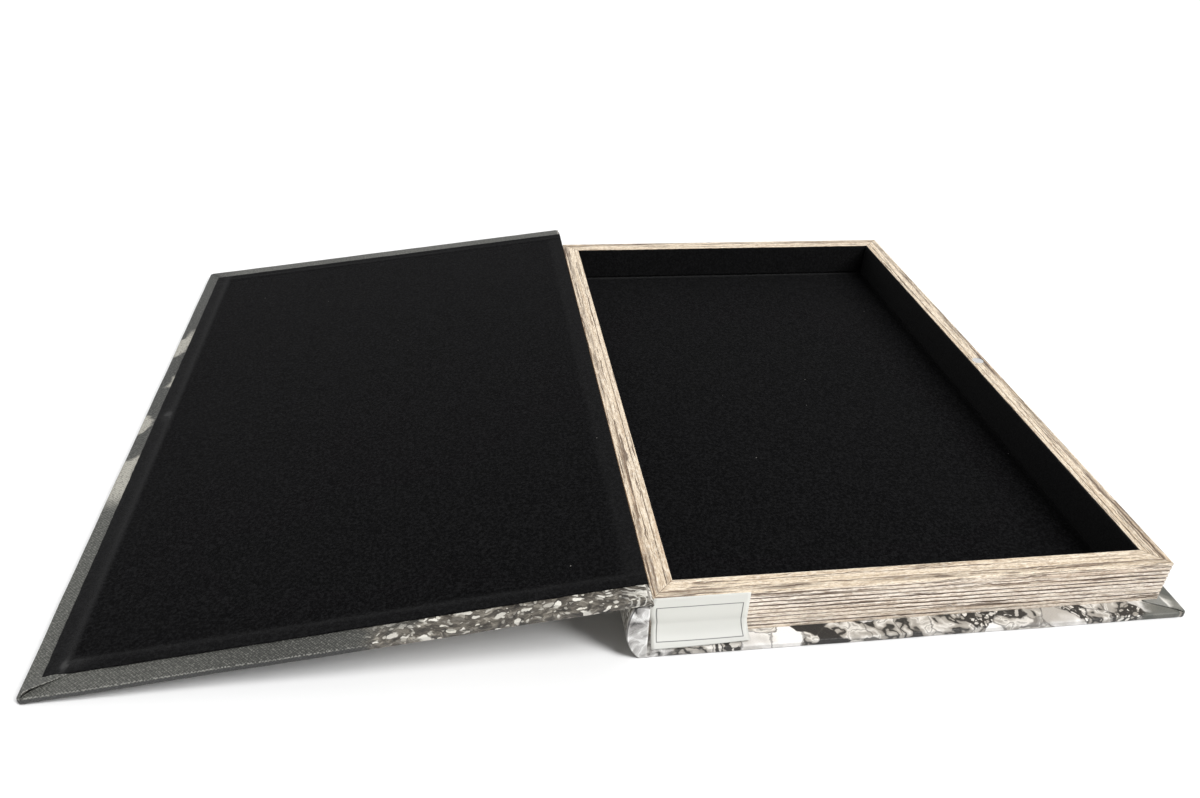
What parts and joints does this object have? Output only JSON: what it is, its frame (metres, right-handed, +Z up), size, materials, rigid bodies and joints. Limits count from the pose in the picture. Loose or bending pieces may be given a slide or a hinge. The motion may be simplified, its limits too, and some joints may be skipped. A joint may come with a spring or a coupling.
{
  "type": "book-shaped box",
  "caption": "Shallow storage box in the shape of a large book: a felt-lined tray with page-grooved sides in a cloth-covered case, its hinged lid held shut by magnets.",
  "frame": {"origin": "middle of the back cover's underside, on the surface that the box lies on", "axes": "+X from the spine to the fore edge, +Y along the spine to the back, +Z up"},
  "size_m": [0.4485, 0.3424, 0.0307],
  "materials": {
    "greyboard": "dense unprinted board",
    "printed_cloth": "grey woven book cloth with a mottled black, grey and white print",
    "fibreboard": "wood fibre moulding",
    "page_foil": "cream and brown wood-grain foil, satin",
    "black_felt": "short black flock",
    "magnet": "nickel plated",
    "label": "matt paper sticker"
  },
  "bodies": {
    "case": {"base_board": "greyboard", "base_cloth": "printed_cloth", "spine_core": "fibreboard", "spine_cloth": "printed_cloth", "joint_cloth": "printed_cloth", "hinge_cloth": "printed_cloth", "front_wall": "fibreboard", "fore_edge_wall": "fibreboard", "back_wall": "fibreboard", "spine_wall": "fibreboard", "front_wall_foil": "page_foil", "fore_edge_wall_foil": "page_foil", "back_wall_foil": "page_foil", "spine_wall_foil": "page_foil", "floor_felt": "black_felt", "front_wall_felt": "black_felt", "fore_edge_wall_felt": "black_felt", "back_wall_felt": "black_felt", "spine_wall_felt": "black_felt", "tray_magnet": "magnet", "price_label": "label"},
    "lid": {"lid_board": "greyboard", "lid_cloth": "printed_cloth", "lid_felt": "black_felt", "lid_magnet": "magnet"}
  },
  "joints": [
    {"name": "lid_hinge", "type": "hinge", "parent": "case", "child": "lid", "pos_m": [-0.1133, 0, 0.0269], "axis": [0, 1, 0], "range_deg": [0, 186.97], "deforming": ["hinge_cloth"]}
  ]
}
